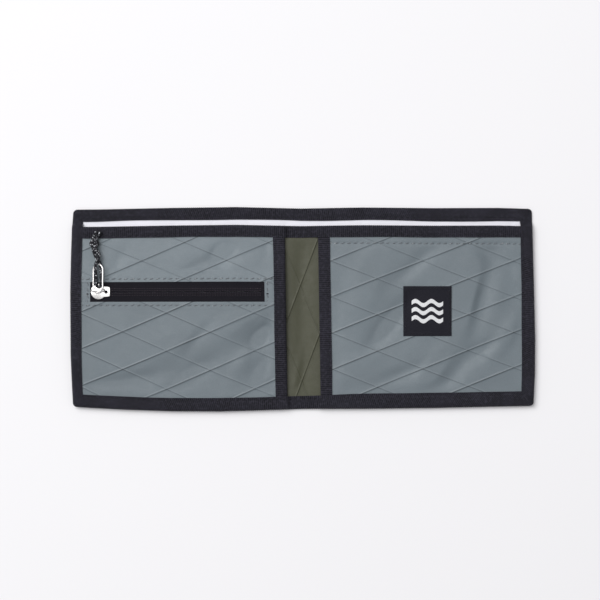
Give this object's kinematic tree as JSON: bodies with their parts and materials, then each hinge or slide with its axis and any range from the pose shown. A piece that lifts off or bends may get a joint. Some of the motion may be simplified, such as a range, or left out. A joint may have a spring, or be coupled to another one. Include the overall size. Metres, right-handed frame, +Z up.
{
  "type": "bifold wallet",
  "caption": "Bifold wallet of laminated ripstop cloth with grosgrain binding, a banknote compartment, a card pocket and a zipped coin pocket with a cord pull.",
  "frame": {"origin": "middle of the face that the open wallet rests on, at the fold", "axes": "+X along the open width towards the card pocket, +Y towards the banknote mouth, +Z up from the surface that it lies on"},
  "size_m": [0.213, 0.0926, 0.008],
  "materials": {
    "grey_cloth": "laminated ripstop with a raised diamond grid, dull sheen",
    "olive_cloth": "laminated ripstop with a raised diamond grid, dull sheen",
    "lining_cloth": "thin plain-woven lining",
    "binding_tape": "ribbed grosgrain tape, matt",
    "zip_tape": "herringbone-woven zip tape, matt",
    "zip_coil": "nylon monofilament, satin",
    "stop_metal": "pressed and tumbled",
    "nickel": "polished nickel plate",
    "pull_cord": "round braid, black with pale reflective flecks",
    "label_cloth": "woven damask label with a plain wave motif"
  },
  "bodies": {
    "left_half": {"shell_left": "olive_cloth", "divider_left": "olive_cloth", "coin_pocket_back": "lining_cloth", "coin_panel_upper": "grey_cloth", "coin_panel_lower": "grey_cloth", "zip_tab_outer": "grey_cloth", "zip_tab_inner": "grey_cloth", "zip_tape_upper": "zip_tape", "zip_tape_lower": "zip_tape", "zip_coil_upper": "zip_coil", "zip_coil_lower": "zip_coil", "zip_stop_top": "stop_metal", "zip_stop_bottom": "stop_metal", "binding_side_left": "binding_tape", "binding_top_left": "binding_tape", "binding_bottom_left": "binding_tape", "divider_binding_left": "binding_tape", "coin_pocket_binding": "binding_tape", "shell_spine": "olive_cloth", "divider_spine": "olive_cloth", "binding_top_spine": "binding_tape", "binding_bottom_spine": "binding_tape", "divider_binding_spine": "binding_tape"},
    "right_half": {"shell_right": "olive_cloth", "divider_right": "olive_cloth", "card_panel": "grey_cloth", "card_pocket_binding": "binding_tape", "woven_label": "label_cloth", "binding_side_right": "binding_tape", "binding_top_right": "binding_tape", "binding_bottom_right": "binding_tape", "divider_binding_right": "binding_tape"},
    "slider": {"slider_body": "nickel", "slider_bridge": "nickel"},
    "pull": {"pull_ring": "nickel", "pull_cord": "pull_cord", "pull_knot": "pull_cord", "pull_tails": "pull_cord"}
  },
  "joints": [
    {"name": "fold", "type": "hinge", "parent": "left_half", "child": "right_half", "pos_m": [0, 0, 0.0052], "axis": [0, -1, 0], "range_deg": [0, 176], "deforming": ["shell_spine", "divider_spine", "binding_top_spine", "binding_bottom_spine", "divider_binding_spine"]},
    {"name": "zip_slide", "type": "slide", "parent": "left_half", "child": "slider", "axis": [1, 0, 0], "range_m": [0, 0.07], "deforming": ["zip_tape_upper", "zip_tape_lower", "zip_coil_upper", "zip_coil_lower"]},
    {"name": "pull_swing", "type": "hinge", "parent": "slider", "child": "pull", "pos_m": [-0.0934, 0.00805, 0.0064], "axis": [1, 0, 0], "range_deg": [0, 182]}
  ]
}
